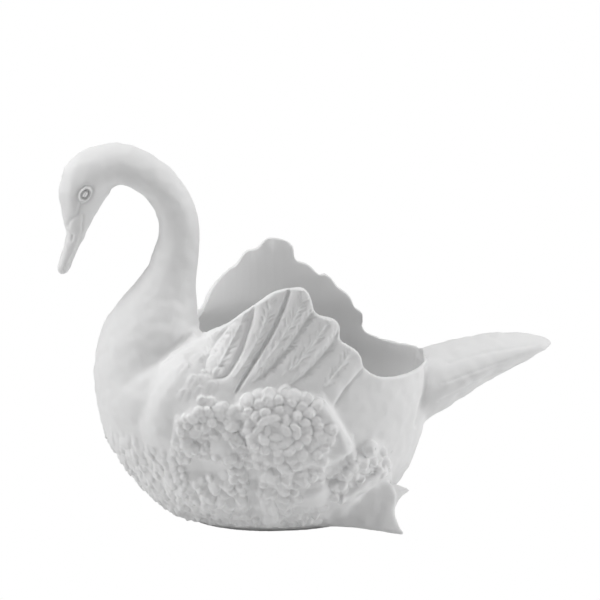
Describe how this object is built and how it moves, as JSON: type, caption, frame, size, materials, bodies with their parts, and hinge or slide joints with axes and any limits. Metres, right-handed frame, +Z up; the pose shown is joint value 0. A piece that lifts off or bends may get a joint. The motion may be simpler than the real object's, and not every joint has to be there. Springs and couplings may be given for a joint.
{
  "type": "swan figurine bowl",
  "caption": "Swan-shaped porcelain bowl: arched neck, raised scalloped wings as the bowl's walls, webbed feet and a wedge tail, on a flat oval base.",
  "frame": {"origin": "centre of the bounding box in plan, on the plane of the flat base", "axes": "+X towards the tip of the tail, the beak looks along -X, +Y to the swan's right side, +Z up"},
  "size_m": [0.3001, 0.1347, 0.2335],
  "materials": {
    "bisque_porcelain": "unglazed matt bisque"
  },
  "bodies": {
    "root": {"swan_figurine": "bisque_porcelain"}
  },
  "joints": []
}
